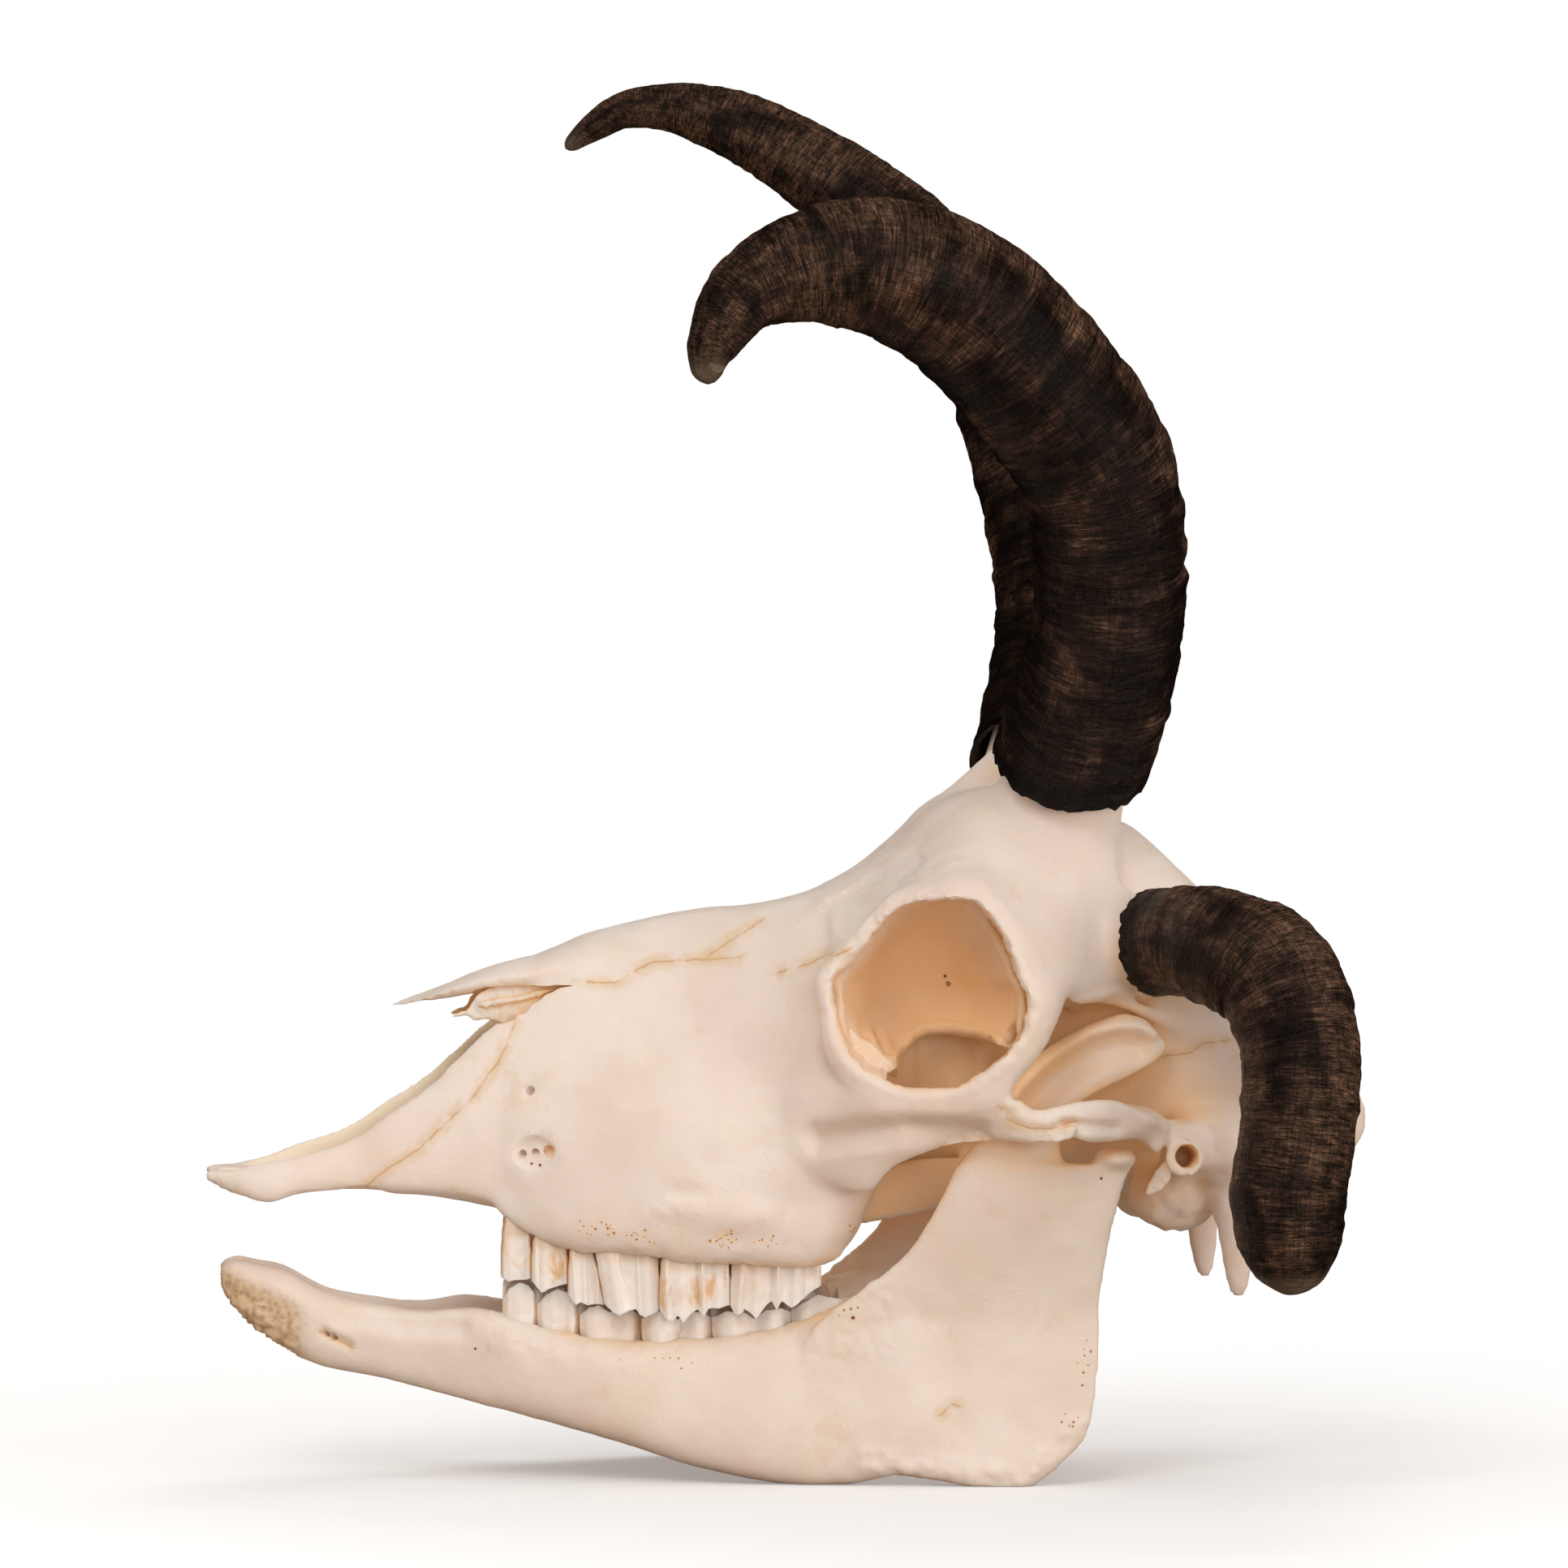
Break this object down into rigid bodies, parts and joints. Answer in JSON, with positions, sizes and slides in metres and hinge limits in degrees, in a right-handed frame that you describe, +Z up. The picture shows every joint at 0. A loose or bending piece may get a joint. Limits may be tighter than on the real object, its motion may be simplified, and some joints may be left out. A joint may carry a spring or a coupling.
{
  "type": "four-horned sheep skull",
  "caption": "Four-horned Jacob sheep skull with lower jaw, cheek teeth, two upright curved horns and two drooping side horns, standing on its jaw.",
  "frame": {"origin": "centre of the bounding box in plan, on the surface that the lower jaw stands on", "axes": "+Z up, -X towards the nose, -Y towards the animal's left side"},
  "size_m": [0.256, 0.188, 0.3147],
  "materials": {
    "cranium_bone": "satin cleaned bone, warm pale cream",
    "jaw_bone": "satin cleaned bone, slightly yellower cream",
    "tooth_enamel": "creamy enamel with brown stains",
    "dark_horn": "ridged dark brown to black horn, semi-gloss, worn lighter on top"
  },
  "bodies": {
    "root": {"cranium": "cranium_bone", "mandible_left": "jaw_bone", "mandible_right": "jaw_bone", "upper_horn_left": "dark_horn", "upper_horn_right": "dark_horn", "lateral_horn_left": "dark_horn", "lateral_horn_right": "dark_horn", "upper_left_premolar_1": "tooth_enamel", "upper_left_premolar_2": "tooth_enamel", "upper_left_premolar_3": "tooth_enamel", "upper_left_molar_1": "tooth_enamel", "upper_left_molar_2": "tooth_enamel", "upper_left_molar_3": "tooth_enamel", "upper_right_premolar_1": "tooth_enamel", "upper_right_premolar_2": "tooth_enamel", "upper_right_premolar_3": "tooth_enamel", "upper_right_molar_1": "tooth_enamel", "upper_right_molar_2": "tooth_enamel", "upper_right_molar_3": "tooth_enamel", "lower_left_premolar_1": "tooth_enamel", "lower_left_premolar_2": "tooth_enamel", "lower_left_premolar_3": "tooth_enamel", "lower_left_molar_1": "tooth_enamel", "lower_left_molar_2": "tooth_enamel", "lower_left_molar_3": "tooth_enamel", "lower_right_premolar_1": "tooth_enamel", "lower_right_premolar_2": "tooth_enamel", "lower_right_premolar_3": "tooth_enamel", "lower_right_molar_1": "tooth_enamel", "lower_right_molar_2": "tooth_enamel", "lower_right_molar_3": "tooth_enamel"}
  },
  "joints": []
}
